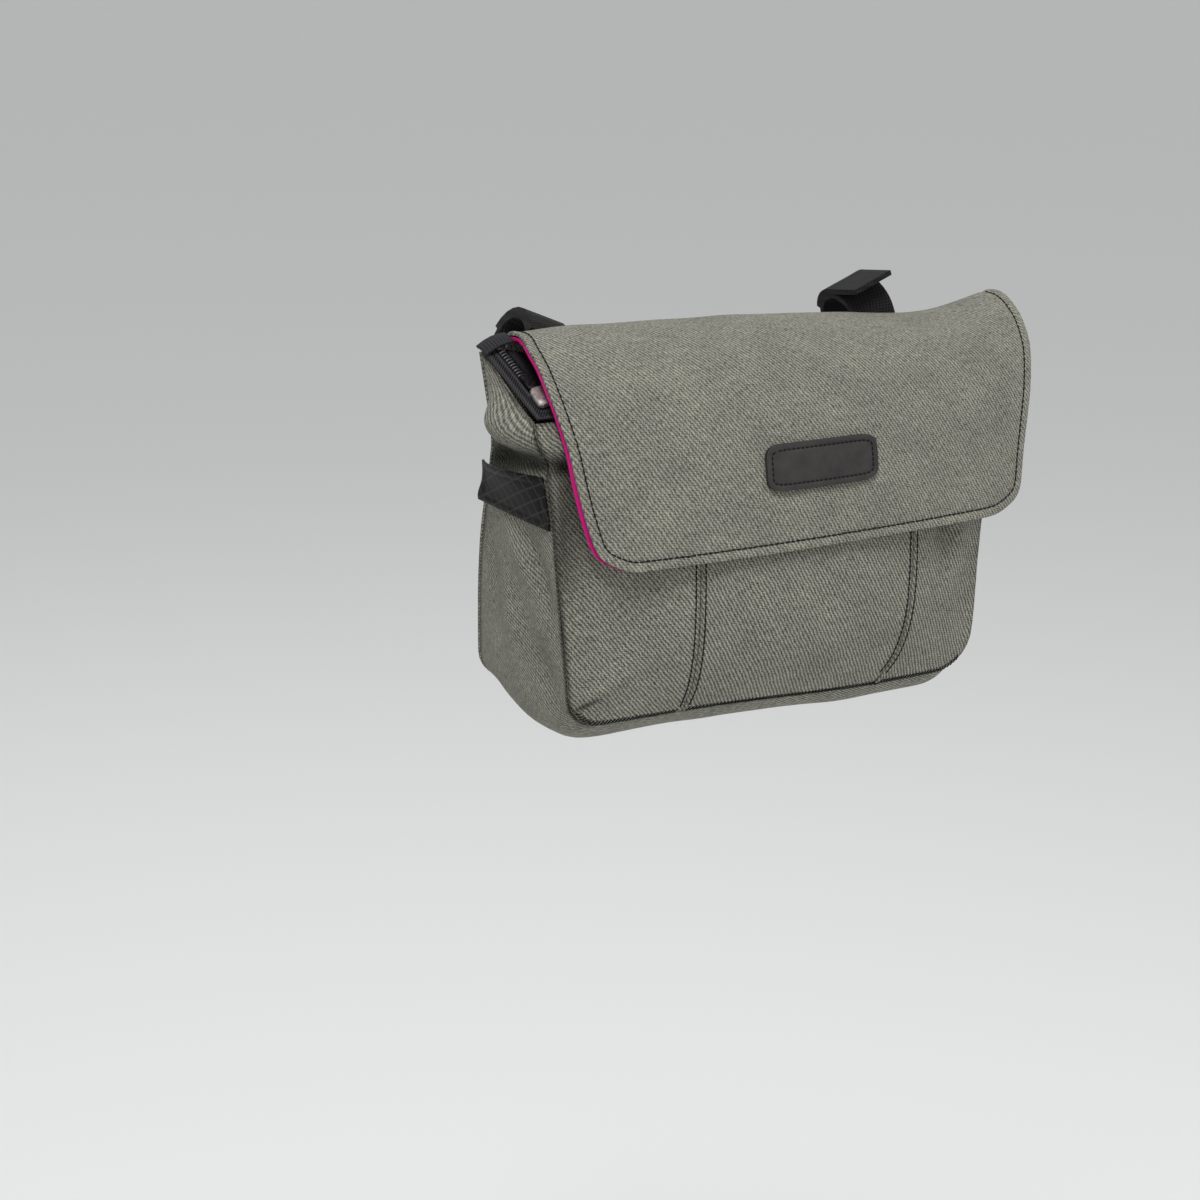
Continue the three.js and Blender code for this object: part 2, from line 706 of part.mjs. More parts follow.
add('front_panel_left', sheet(frontPanelLeft(), cloth), materials.twill);
add('front_panel_centre', sheet(frontPanelCentre(), cloth), materials.twill);
add('front_panel_right', sheet(frontPanelRight(), cloth), materials.twill);
add('gusset', sheet(gussetGrid(), cloth), materials.twill);
add('back_panel', sheet(backPanel(), cloth), materials.twill);
add('zip_tape', sheet(rimStrip(0, tape_width, 0, 2), tape_thickness), materials.zip);
const coil_strip = rimStrip(coil_from, coil_to, coil_height - tape_thickness, 1);
add('zip_coil', sheet(coil_strip, coil_height), materials.coil);
add('lid', sheet(lidGrid(), lid_thickness), materials.zip);
add('zip_end_left', sheet(zipEndGrid(-1), tape_thickness), materials.zip);
add('zip_slider', zipBlock(slider_length, slider_width, slider_height, 0), materials.metal);
add('zip_pull', zipBlock(pull_length, pull_width, pull_thickness, pull_offset), materials.metal);
const flap_face = flapGrid();
add('flap', sheet(flap_face, cloth), materials.twill);
// The lining stops one row short of the seam that joins the flap to the back
const lining_face = offsetGrid(flap_face, -cloth - seam_gap).slice(1);
add('flap_lining', sheet(lining_face, lining), materials.lining);
const label_back = offsetGrid(labelGrid(), seam_gap);
add('label_patch', bodyBetween(offsetGrid(label_back, label_thickness), label_back), materials.label);
add('side_band_left', sheet(bandGrid(-1), band_thickness), materials.ripstop);
add('side_band_right', sheet(bandGrid(1), band_thickness), materials.ripstop);
bag.add(strapMesh('bar_strap_left', left_strap_place, left_strap_lift, false));
bag.add(strapMesh('bar_strap_right', right_strap_place, right_strap_lift, true));

export default bag;
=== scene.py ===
import math

import bmesh
import bpy
from mathutils import Matrix, Vector, noise
from mathutils.bvhtree import BVHTree
from mathutils.kdtree import KDTree


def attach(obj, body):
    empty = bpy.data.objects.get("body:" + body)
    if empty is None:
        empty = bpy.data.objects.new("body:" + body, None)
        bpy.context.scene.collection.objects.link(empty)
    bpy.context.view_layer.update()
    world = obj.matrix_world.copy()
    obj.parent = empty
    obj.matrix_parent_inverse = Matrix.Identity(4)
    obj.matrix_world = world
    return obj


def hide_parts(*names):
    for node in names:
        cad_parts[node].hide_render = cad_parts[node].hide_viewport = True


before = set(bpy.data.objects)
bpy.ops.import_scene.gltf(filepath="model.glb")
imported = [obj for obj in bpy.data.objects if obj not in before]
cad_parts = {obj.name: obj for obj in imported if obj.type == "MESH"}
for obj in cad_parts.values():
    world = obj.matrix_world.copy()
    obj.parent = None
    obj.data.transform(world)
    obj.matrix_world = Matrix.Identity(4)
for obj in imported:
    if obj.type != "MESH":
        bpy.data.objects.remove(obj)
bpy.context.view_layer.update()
mm = 0.001


# Front panels
# Three panels of heathered grey-green twill make the front. Two curved seams join them, with a
# row of black topstitching on either side of each. Slanted black stitches follow the bottom edge.

def sewn_copy(node, name, levels=2, edge_round=0.35):
    """A smooth cloth copy of a frame node, with the loop of its outer edge."""
    bpy.ops.object.select_all(action="DESELECT")
    piece = bpy.data.objects.new(name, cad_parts[node].data.copy())
    bpy.context.scene.collection.objects.link(piece)
    piece.data.name = name
    piece.data.materials.clear()
    piece.select_set(True)
    bpy.context.view_layer.objects.active = piece
    bpy.ops.mesh.customdata_custom_splitnormals_clear()
    bpy.ops.object.mode_set(mode="EDIT")
    bpy.ops.mesh.select_all(action="SELECT")
    bpy.ops.mesh.remove_doubles(threshold=0.01 * mm)
    bpy.ops.mesh.tris_convert_to_quads(
        face_threshold=math.radians(50), shape_threshold=math.radians(70)
    )
    bpy.ops.mesh.select_all(action="DESELECT")
    bpy.ops.mesh.edges_select_sharp(sharpness=math.radians(62))
    bpy.ops.transform.edge_crease(value=1.0)
    bpy.ops.object.mode_set(mode="OBJECT")
    smooth = piece.modifiers.new("smooth", "SUBSURF")
    smooth.levels = levels
    smooth.render_levels = levels
    bpy.ops.object.modifier_apply(modifier="smooth")
    rim = outer_edge(piece.data)
    soften = piece.modifiers.new("soften", "BEVEL")
    soften.width = edge_round * mm
    soften.segments = 2
    soften.limit_method = "ANGLE"
    soften.angle_limit = math.radians(48)
    bpy.ops.object.modifier_apply(modifier="soften")
    bpy.ops.object.shade_smooth()
    return piece, rim


def outer_edge(mesh, middle=Vector((0, 0, -0.075)), edge_turn=0.84):
    """The loop of (point, normal, way into the cloth) round the side of a sheet that faces away
    from the bag's middle. Faces that meet at less than edge_turn radians are on one side."""
    work = bmesh.new()
    work.from_mesh(mesh)
    work.faces.ensure_lookup_table()
    region = {}
    score = []
    for first in work.faces:
        if first.index in region:
            continue
        number = len(score)
        total = 0.0
        stack = [first]
        region[first.index] = number
        while stack:
            face = stack.pop()
            total += face.calc_area() * face.normal.dot(face.calc_center_median() - middle)
            for edge in face.edges:
                if len(edge.link_faces) == 2 and edge.calc_face_angle(0) < edge_turn:
                    for other in edge.link_faces:
                        if other.index not in region:
                            region[other.index] = number
                            stack.append(other)
        score.append(total)
    outside = score.index(max(score))
    near = {}
    sides = {}
    for edge in work.edges:
        is_outside = [region[face.index] == outside for face in edge.link_faces]
        if sum(is_outside) == 1:
            a, b = edge.verts
            near.setdefault(a.index, []).append(b.index)
            near.setdefault(b.index, []).append(a.index)
            face = edge.link_faces[is_outside.index(True)]
            facing = (face.normal.copy(), face.calc_center_median())
            for end in (a, b):
                sides.setdefault(end.index, []).append(facing)
    work.verts.ensure_lookup_table()
    loops = []
    left = set(near)
    while left:
        start = min(left)
        loop = [start]
        left.discard(start)
        while True:
            following = [n for n in near[loop[-1]] if n in left]
            if not following:
                break
            loop.append(following[0])
            left.discard(following[0])
        points = [work.verts[index].co.copy() for index in loop]
        out = []
        for step, index in enumerate(loop):
            along = points[(step + 1) % len(loop)] - points[step - 1]
            normal = sum((n for n, _ in sides[index]), Vector()).normalized()
            inward = normal.cross(along).normalized()
            centre = sum((c for _, c in sides[index]), Vector()) / len(sides[index])
            if inward.dot(centre - points[step]) < 0:
                inward = -inward
            out.append((points[step], normal, inward))
        loops.append(out)
    work.free()
    return max(loops, key=len)


def rim_tree(rim):
    """A search tree of a rim's points."""
    tree = KDTree(len(rim))
    for index, (point, _, _) in enumerate(rim):
        tree.insert(point, index)
    tree.balance()
    return tree


def round_corners(piece, rim, share):
    """Eases the corners of a rim into curves, and moves the cloth next to it along. share(point)
    is how much of the change a place takes. Returns the new rim."""
    corner_curve, cloth_reach = 2.6, 6
    eased = [point.copy() for point, _, _ in rim]
    step = sum((b - a).length for a, b in zip(eased, eased[1:])) / len(eased) / mm
    for _ in range(round(2 * (corner_curve / step) ** 2)):
        eased = [
            (eased[i - 1] + eased[i] * 2 + eased[(i + 1) % len(eased)]) / 4
            for i in range(len(eased))
        ]
    tree = rim_tree(rim)
    moved = [(new - old) * share(old / mm) for new, (old, _, _) in zip(eased, rim)]
    for vertex in piece.data.vertices:
        _, index, reach = tree.find(vertex.co)
        vertex.co += moved[index] * math.exp(-(reach / (cloth_reach * mm)) ** 2)
    places = [point + move for move, (point, _, _) in zip(moved, rim)]
    out = []
    for i, (_, normal, inward) in enumerate(rim):
        turned = normal.cross(places[(i + 1) % len(places)] - places[i - 1]).normalized()
        out.append((places[i], normal, turned if turned.dot(inward) > 0 else -turned))
    return out


def lay_cloth(piece, rule):
    """Gives a piece the cloth's own coordinates in millimetres, as its UV map."""
    layer = piece.data.uv_layers.new(name="cut")
    for loop in piece.data.loops:
        layer.data[loop.index].uv = rule(piece.data.vertices[loop.vertex_index].co / mm)


def shape_cloth(
    piece, way, rim=None, rows=(), swell=0.0, groove=0.0, folds=(), ripple=0.0, axis=0, faint=None
):
    """Moves a sheet along way(point): a swell and stitch grooves by its rim, folds and ripples.
    A fold is (place along the axis, z, turn in degrees, length, width, height). The attribute
    seam holds painted shade, where shade falls in the seam at the rim and in deep
    creases; faint(point) makes that painted shade lighter."""
    ripple_grain, ripple_start = 0.045, Vector((3.1, 0, 0))
    pucker_grain, pucker_mean, pucker_change = 0.28, 0.75, 0.5
    held_width, seam_width, groove_width = 5, 0.9, 0.8
    swell_inset, swell_width = 1.6, 1.5
    fold_end, crease_from, crease_shade, crease_spread = 3, 1.5, 0.26, 0.6
    tree = rim_tree(rim) if rim else None
    seam = []
    moves = []
    for vertex in piece.data.vertices:
        p = vertex.co / mm
        rise = ripple * noise.noise(p * ripple_grain + ripple_start)
        crease = 0.0
        for along, level, turn, length, width, height in folds:
            dx, dz = p[axis] - along, p.z - level
            c, s = math.cos(math.radians(turn)), math.sin(math.radians(turn))
            a, b = (dx * c + dz * s) / length, (dz * c - dx * s) / width
            if abs(a) < fold_end and abs(b) < fold_end:
                rise += height * math.exp(-a * a - b * b)
                # Painted shade in the crease of a deep fold.
                depth = max(0.0, -height - crease_from)
                crease += depth * crease_shade * math.exp(-crease_spread * (a * a + b * b))
        if tree:
            reach = tree.find(vertex.co)[2] / mm
            rise *= 1 - math.exp(-(reach / held_width) ** 2)
            # Painted shade in the seam along the rim, where shade falls.
            edge = math.exp(-(reach / seam_width) ** 2) * (faint(p) if faint else 1)
            seam.append(min(1.0, edge + crease))
            pucker = pucker_mean + pucker_change * noise.noise(p * pucker_grain)
            rise += swell * pucker * math.exp(-((reach - swell_inset) / swell_width) ** 2)
            for row in rows:
                rise -= groove * pucker * math.exp(-((reach - row) / groove_width) ** 2)
        moves.append(way(p) * rise * mm)
    for vertex, move in zip(piece.data.vertices, moves):
        vertex.co += move
    if seam:
        shade = piece.data.attributes.new("seam", "FLOAT", "POINT")
        shade.data.foreach_set("value", seam)
    piece.data.update()


def put(tree, kind, inputs=None, **values):
    """Adds a node, with its settings and with each input set or wired."""
    made = tree.nodes.new(kind)
    for name, value in values.items():
        setattr(made, name, value)
    for name, value in (inputs or {}).items():
        if isinstance(value, bpy.types.NodeSocket):
            tree.links.new(value, made.inputs[name])
        else:
            made.inputs[name].default_value = value
    return made


def new_group(name, inputs, outputs):
    """A shader node group with named sockets."""
    group = bpy.data.node_groups.new(name, "ShaderNodeTree")
    for title, kind, value in inputs:
        socket = group.interface.new_socket(title, in_out="INPUT", socket_type=kind)
        if value is not None:
            socket.default_value = value
    for title, kind in outputs:
        group.interface.new_socket(title, in_out="OUTPUT", socket_type=kind)
    return group, put(group, "NodeGroupInput").outputs, put(group, "NodeGroupOutput").inputs


def new_finish(name, settings):
    """A material with its node tree and shader, whose sockets take the settings."""
    material = bpy.data.materials.new(name)
    material.use_nodes = True
    shader = material.node_tree.nodes["Principled BSDF"]
    for socket, value in settings.items():
        shader.inputs[socket].default_value = value
    return material, material.node_tree, shader


def math_node(tree, operation, a, b=0.0, c=0.0):
    """A math node's result, with each of its inputs set or wired."""
    made = put(tree, "ShaderNodeMath", operation=operation)
    for socket, value in zip(made.inputs, (a, b, c)):
        if isinstance(value, bpy.types.NodeSocket):
            tree.links.new(value, socket)
        else:
            socket.default_value = value
    return made.outputs[0]


def ramp_node(tree, factor, stops):
    """A colour ramp with stops of (place, red, green, blue), in linear values."""
    made = put(tree, "ShaderNodeValToRGB", {"Fac": factor})
    elements = made.color_ramp.elements
    while len(elements) < len(stops):
        elements.new(0.5)
    for element, (place, red, green, blue) in zip(elements, stops):
        element.position = place
        element.color = (red, green, blue, 1)
    return made.outputs["Color"]


def multiplied(tree, colour, tint):
    """A colour times a tint."""
    mix = put(tree, "ShaderNodeMix", data_type="RGBA", blend_type="MULTIPLY")
    mix.inputs[0].default_value = 1.0
    tree.links.new(colour, mix.inputs[6])
    tree.links.new(tint, mix.inputs[7])
    return mix.outputs[2]


def add_relief(tree, shader, height, strength, distance):
    """A bump of some millimetres on a shader."""
    bump = put(
        tree,
        "ShaderNodeBump",
        {"Height": height, "Strength": strength, "Distance": distance * mm},
    )
    tree.links.new(bump.outputs["Normal"], shader.inputs["Normal"])


# A diagonal weave: wales across the cut, broken into picks, with uneven heathered yarn and slubs.
weave, given, result = new_group(
    "diagonal_weave",
    [
        ("Cut", "NodeSocketVector", None),
        ("Pitch", "NodeSocketFloat", 1.35),
        ("Angle", "NodeSocketFloat", 0.8),
        ("Heather", "NodeSocketFloat", 1.0),
        ("Ribs", "NodeSocketFloat", 0.42),
    ],
    [("Shade", "NodeSocketFloat"), ("Height", "NodeSocketFloat")],
)
wander_width, picks_per_mm, mid_shade, pick_shade = 1.3, 4.2, 0.53, 0.10
speck_gain, slub_from, slub_shade = 1.25, 0.58, -6.0
pick_height, speck_height = 0.18, 0.35
turned = put(
    weave,
    "ShaderNodeVectorRotate",
    {"Vector": given["Cut"], "Angle": given["Angle"]},
    rotation_type="Z_AXIS",
).outputs["Vector"]
wander = put(weave, "ShaderNodeTexNoise", {"Vector": turned, "Scale": 0.22, "Detail": 2.0})
axes = put(weave, "ShaderNodeSeparateXYZ", {"Vector": turned}).outputs
across = math_node(weave, "MULTIPLY_ADD", wander.outputs["Fac"], wander_width, axes["X"])
turns = math_node(weave, "DIVIDE", math_node(weave, "MULTIPLY", across, math.tau), given["Pitch"])
wale = math_node(weave, "MULTIPLY_ADD", math_node(weave, "SINE", turns), 0.5, 0.5)
picks = math_node(weave, "SINE", math_node(weave, "MULTIPLY_ADD", axes["Y"], picks_per_mm, turns))
yarns = []
for stretch in ((0.75, 0.11, 1.0), (0.11, 0.75, 1.0)):
    drawn = put(
        weave, "ShaderNodeVectorMath", {0: given["Cut"], 1: stretch}, operation="MULTIPLY"
    ).outputs[0]
    yarn = put(weave, "ShaderNodeTexNoise", {"Vector": drawn, "Scale": 2.9, "Detail": 2.0})
    yarns.append(yarn.outputs["Fac"])
warp, weft = yarns
speck = math_node(weave, "ADD", warp, weft)
speck = math_node(weave, "MULTIPLY_ADD", speck, speck_gain, -speck_gain)
speck = math_node(weave, "MULTIPLY", speck, given["Heather"])
slub = math_node(weave, "MAXIMUM", math_node(weave, "SUBTRACT", weft, slub_from), 0.0)
speck = math_node(weave, "MULTIPLY_ADD", slub, slub_shade, speck)
rib_shade = math_node(weave, "MULTIPLY", math_node(weave, "SUBTRACT", wale, 0.5), given["Ribs"])
shade = math_node(weave, "ADD", rib_shade, speck)
shade = math_node(weave, "MULTIPLY_ADD", picks, pick_shade, shade)
weave.links.new(math_node(weave, "ADD", shade, mid_shade), result["Shade"])
height = math_node(weave, "MULTIPLY_ADD", picks, pick_height, wale)
height = math_node(weave, "MULTIPLY_ADD", speck, speck_height, height)
weave.links.new(height, result["Height"])


def twill_cloth(name, angle, pitch=1.5, ribs=0.58, heather=0.95, seam_shade=(0.3, 0.3, 0.29)):
    """The heathered twill, with its wales at an angle in degrees to the cut, and painted seam
    shade.
    """
    material, tree, shader = new_finish(
        name,
        {
            "Roughness": 0.92,
            "Specular IOR Level": 0.12,
            "Sheen Weight": 0.06,
            "Sheen Roughness": 0.5,
        },
    )
    cut = put(tree, "ShaderNodeUVMap", uv_map="cut").outputs["UV"]
    cloth = put(tree, "ShaderNodeGroup", node_tree=weave)
    tree.links.new(cut, cloth.inputs["Cut"])
    cloth.inputs["Angle"].default_value = math.radians(angle)
    cloth.inputs["Pitch"].default_value = pitch
    cloth.inputs["Ribs"].default_value = ribs
    cloth.inputs["Heather"].default_value = heather
    yarn = ramp_node(
        tree,
        cloth.outputs["Shade"],
        [(0.0, 0.036, 0.0355, 0.029), (0.5, 0.196, 0.194, 0.161), (1.0, 0.43, 0.427, 0.365)],
    )
    patch = put(tree, "ShaderNodeTexNoise", {"Vector": cut, "Scale": 0.045, "Detail": 3.0})
    tone = ramp_node(
        tree, patch.outputs["Fac"], [(0.3, 0.86, 0.86, 0.87), (0.72, 1.06, 1.06, 1.04)]
    )
    # Painted shade: the colour darkens towards seam_shade in seams and creases, where shade falls.
    seam = put(tree, "ShaderNodeAttribute", attribute_name="seam")
    shadow = ramp_node(tree, seam.outputs["Fac"], [(0.0, 1, 1, 1), (1.0, *seam_shade)])
    colour = multiplied(tree, multiplied(tree, yarn, tone), shadow)
    tree.links.new(colour, shader.inputs["Base Color"])
    add_relief(tree, shader, cloth.outputs["Height"], 0.55, 0.35)
    return material


thread_black, tree, shader = new_finish(
    "thread_black", {"Roughness": 0.7, "Specular IOR Level": 0.15}
)
thread_place = put(tree, "ShaderNodeTexCoord").outputs["Object"]
ply = put(tree, "ShaderNodeTexNoise", {"Vector": thread_place, "Scale": 2600.0})
tree.links.new(
    ramp_node(
        tree, ply.outputs["Fac"], [(0.3, 0.003, 0.003, 0.0032), (0.8, 0.014, 0.0135, 0.0145)]
    ),
    shader.inputs["Base Color"],
)


def one_stitch(length, width, droop=0.25):
    """A single stitch of twisted thread, arched over the cloth, as a bmesh."""
    bpy.ops.object.select_all(action="DESELECT")
    bpy.ops.mesh.primitive_uv_sphere_add(segments=8, ring_count=6, radius=1)
    bpy.ops.object.mode_set(mode="EDIT")
    bpy.ops.mesh.select_all(action="SELECT")
    bpy.ops.transform.rotate(
        value=math.radians(90), orient_axis="Y", center_override=(0, 0, 0)
    )
    bpy.ops.transform.resize(
        value=(length / 2 * mm, width / 2 * mm, width / 2 * mm), center_override=(0, 0, 0)
    )
    bpy.ops.object.mode_set(mode="OBJECT")
    stitch = bpy.context.object
    for vertex in stitch.data.vertices:
        share = vertex.co.x / (length / 2 * mm)
        vertex.co.z -= droop * width * mm * share * share
    made = bmesh.new()
    made.from_mesh(stitch.data)
    bpy.data.objects.remove(stitch)
    return made


def walk(points, pitch):
    """Even steps of (point, way on) along a line of points, in metres."""
    steps = []
    due = pitch / 2
    for a, b in zip(points, points[1:]):
        span = (b - a).length
        while due <= span and span > 0:
            steps.append((a.lerp(b, due / span), (b - a).normalized()))
            due += pitch
        due -= span
    return steps


def runs(rim, inset, keep):
    """Lines that lie inset millimetres inside a rim, where keep(point in mm) holds."""
    chosen = [keep(point / mm) for point, _, _ in rim]
    if all(chosen):
        line = [point + inward * inset * mm for point, _, inward in rim]
        return [line + line[:1]]
    start = chosen.index(False)
    lines = []
    current = []
    for step in range(len(rim) + 1):
        point, _, inward = rim[(start + step) % len(rim)]
        if chosen[(start + step) % len(rim)] and step < len(rim):
            current.append(point + inward * inset * mm)
        elif current:
            lines.append(current)
            current = []
    return [line for line in lines if len(line) > 2]


def set_on(normal, along, spot):
    """The place of a shape that stands on a surface at a spot and looks along a line."""
    place = Matrix((along, normal.cross(along), normal)).transposed().to_4x4()
    place.translation = spot
    return place


def repeated(name, shape, places, finish):
    """One smooth piece of copies of a bmesh shape, one at each place."""
    whole = bmesh.new()
    for place in places:
        made = {vertex.index: whole.verts.new(place @ vertex.co) for vertex in shape.verts}
        for face in shape.faces:
            whole.faces.new([made[vertex.index] for vertex in face.verts])
    mesh = bpy.data.meshes.new(name)
    whole.normal_update()
    whole.to_mesh(mesh)
    for face in mesh.polygons:
        face.use_smooth = True
    piece = bpy.data.objects.new(name, mesh)
    bpy.context.scene.collection.objects.link(piece)
    piece.data.materials.append(finish)
    return piece


def stitching(
    name, lines, ground, pitch=2.6, length=2.65, width=0.72, turn=0.0
):
    """Rows of stitches that lie on a ground piece, each turned by some degrees off its line."""
    uneven_turn, uneven_grain, sunk = 0.06, 900, 0.16
    surface = BVHTree.FromObject(ground, bpy.context.evaluated_depsgraph_get())
    stitch = one_stitch(length, width)
    places = []
    for line in lines:
        for point, along in walk(line, pitch * mm):
            spot, normal, _, _ = surface.find_nearest(point)
            along = (along - normal * along.dot(normal)).normalized()
            slant = math.radians(turn) + uneven_turn * noise.noise(point * uneven_grain)
            along = along * math.cos(slant) + normal.cross(along) * math.sin(slant)
            places.append(set_on(normal, along, spot + normal * (width / 2 - sunk) * mm))
    row = repeated(name, stitch, places, thread_black)
    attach(row, "root")
    return row


twill_front = {
    "left": twill_cloth("twill_front_left", angle=-41),
    "centre": twill_cloth("twill_front_centre", angle=-32),
    "right": twill_cloth("twill_front_right", angle=-27),
}


def outwards_front(p):
    return Vector((0, -1, 0))


def faint_front(p):
    """The painted shade is lighter at the seams between the panels than at the bag's edges."""
    return 0.35 if abs(p.x) < 64 and p.z > -147 else 1.0


def by_curved_seam(p):
    """The sides that the curved seams join, clear of the panels' corners."""
    return 40 < abs(p.x) < 62 and -145 < p.z < -20


def by_bottom_edge(p):
    """The bottom edge, apart from the places where the curved seams end."""
    return p.z < (-141 if p.x < -46 else -146) and min(abs(p.x + 49), abs(p.x - 53.5)) > 1.2


def slack_corner(piece):
    """Puffs out the cloth at the upper left corner, over a sharp fold, and pinches the lower left
    corner, with painted shade in the fold and the pinch. It moves each point by its place alone,
    so that pieces that meet there stay together."""
    corner_x, corner_y, corner_width, corner_depth = -118, -49, 9, 13
    puff_z, puff_size, puff_height, puff_way = -22, 8, 4.2, Vector((-0.75, -0.66, 0))
    fold_z, fold_size, crease_shade = -34.5, 3.8, 0.8
    pinch_x, pinch_y, pinch_z, pinch_depth = -95, -46, -137, 2.2
    pinch_length, pinch_width, pinch_reach = 7, 1.6, 6
    pinch_cos, pinch_sin = 0.92, 0.38
    shade = piece.data.attributes["seam"].data
    for index, vertex in enumerate(piece.data.vertices):
        p = vertex.co / mm
        beside, before = (p.x - corner_x) / corner_width, (p.y - corner_y) / corner_depth
        near = math.exp(-beside ** 2 - before ** 2)
        crest = puff_height * math.exp(-((p.z - puff_z) / puff_size) ** 2)
        crease = math.exp(-((p.z - fold_z) / fold_size) ** 2)
        vertex.co += puff_way * (crest - puff_height * crease) * near * mm
        dx, dz = p.x - pinch_x, p.z - pinch_z
        along = (pinch_cos * dx + pinch_sin * dz) / pinch_length
        across = (pinch_cos * dz - pinch_sin * dx) / pinch_width
        pinch = math.exp(-along ** 2 - across ** 2 - ((p.y - pinch_y) / pinch_reach) ** 2)
        vertex.co.y += pinch_depth * pinch * mm
        # Painted shade in the fold under the puff and in the pinch.
        darker = crease_shade * crease * near + crease_shade * pinch
        shade[index].value = min(1.0, shade[index].value + darker)


front_folds = {
    "left": [
        (-88, -130, 40, 14, 4, 1.4), (-78, -136, 60, 14, 5, -1.0), (-84, -112, 70, 18, 4, -0.8),
        (-110, -27, 14, 10, 5, 3.4), (-108, -36, 10, 11, 3, -2.8), (-108, -59, 84, 30, 8, -4.6),
        (-94, -84, 78, 24, 6, 1.6),
    ],
    "centre": [
        (-30, -120, 80, 16, 5, -0.6), (22, -112, 95, 18, 6, 0.6), (0, -138, 10, 30, 4, -0.5),
    ],
    "right": [
        (96, -124, 110, 18, 4, -1.0), (84, -102, 100, 16, 5, 0.7), (76, -80, 100, 14, 5, -2.6),
        (88, -84, 96, 16, 4, 1.6),
    ],
}
edge_groove, seam_inset, bottom_inset = 0.2, 2.0, 1.6
for side in ("left", "centre", "right"):
    panel, rim = sewn_copy(f"front_panel_{side}", f"front_{side}_cloth", levels=3)
    lay_cloth(panel, lambda p: (p.x, p.z - 0.35 * p.y))
    shape_cloth(
        panel, outwards_front, rim, rows=(edge_groove, seam_inset), swell=0.6, groove=0.4,
        folds=front_folds[side], ripple=0.5, faint=faint_front,
    )
    if side == "left":
        slack_corner(panel)
    panel.data.materials.append(twill_front[side])
    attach(panel, "root")
    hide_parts(f"front_panel_{side}")
    seam_row = stitching(
        f"front_{side}_stitches", runs(rim, seam_inset, by_curved_seam), panel
    )
    hem_row = stitching(
        f"front_{side}_bottom_stitches", runs(rim, bottom_inset, by_bottom_edge), panel,
        pitch=1.75, length=3.4, width=0.66, turn=48,
    )


# Gusset
# One long strip of the same twill goes down the left end, along the bottom and up the right end.
# It is sewn to the front and back panels, and slack cloth at the ends lies in soft folds.
twill_gusset = twill_cloth("twill_gusset", angle=-140, pitch=1.45, ribs=0.46, heather=0.9)
gusset_end, gusset_bottom, gusset_bend = 70, -110, 40


def outwards_gusset(p):
    along_x = max(0.0, abs(p.x) - gusset_end) / gusset_bend
    along_z = max(0.0, gusset_bottom - p.z) / gusset_bend
    if not along_x + along_z:
        return Vector()
    return Vector((math.copysign(along_x, p.x), 0, -along_z)).normalized()


gusset_folds = [
    (-26, -20, 2, 30, 9, 6.4), (-22, -34.5, -4, 30, 4.6, -6.4), (-3, -21, 84, 15, 9, 3.6),
    (20, -11, 88, 22, 13, 6.4), (-24, -74, 60, 20, 6, 2.6), (-38, -84, 72, 22, 5, -2.4),
    (-11, -102, 95, 24, 7, 2.6), (-30, -120, 62, 22, 6, -2.2), (2, -84, 80, 20, 6, -2.0),
    (10, -122, 88, 20, 7, 1.8),
]
gusset, rim = sewn_copy("gusset", "gusset_cloth", levels=2)
lay_cloth(gusset, lambda p: (p.y, p.z + abs(p.x)))
shape_cloth(gusset, outwards_gusset, rim, swell=0.2, folds=gusset_folds, ripple=0.9, axis=1)
slack_corner(gusset)
gusset.data.materials.append(twill_gusset)
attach(gusset, "root")
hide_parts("gusset")


# Back panel
# A plain panel of the same twill closes the back, from the zip down to the bottom seam. A row of
# black topstitching runs all round it.
twill_back = twill_cloth("twill_back", angle=45)
back_inset = 3.0


def all_round(p):
    return True


back, rim = sewn_copy("back_panel", "back_cloth", levels=2)
lay_cloth(back, lambda p: (p.x, p.z - 0.3 * p.y))
shape_cloth(
    back, lambda p: Vector((0, 1, 0)), rim, rows=(back_inset,), swell=0.4, groove=0.3, ripple=0.6
)
back.data.materials.append(twill_back)
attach(back, "root")
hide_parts("back_panel")
back_row = stitching("back_stitches", runs(rim, back_inset, all_round), back)


# Zip tape, lid and end tab
# Black woven tape frames the opening, ribbed along its edge. The lid inside it is thin black
# cloth that slopes down under the flap, and a folded tab of tape closes the zip's left end.
plain, given, result = new_group(
    "plain_weave",
    [
        ("Cut", "NodeSocketVector", None),
        ("Pitch Across", "NodeSocketFloat", 0.8),
        ("Pitch Along", "NodeSocketFloat", 0.8),
    ],
    [("Thread", "NodeSocketFloat"), ("Fuzz", "NodeSocketFloat")],
)
axes = put(plain, "ShaderNodeSeparateXYZ", {"Vector": given["Cut"]}).outputs
ways = []
for axis, spacing in (("X", "Pitch Across"), ("Y", "Pitch Along")):
    turns = math_node(plain, "MULTIPLY", axes[axis], math.tau)
    ways.append(math_node(plain, "SINE", math_node(plain, "DIVIDE", turns, given[spacing])))
thread = math_node(plain, "MULTIPLY_ADD", math_node(plain, "ADD", *ways), 0.25, 0.5)
plain.links.new(thread, result["Thread"])
fuzz = put(plain, "ShaderNodeTexNoise", {"Vector": given["Cut"], "Scale": 1.4, "Detail": 3.0})
plain.links.new(fuzz.outputs["Fac"], result["Fuzz"])


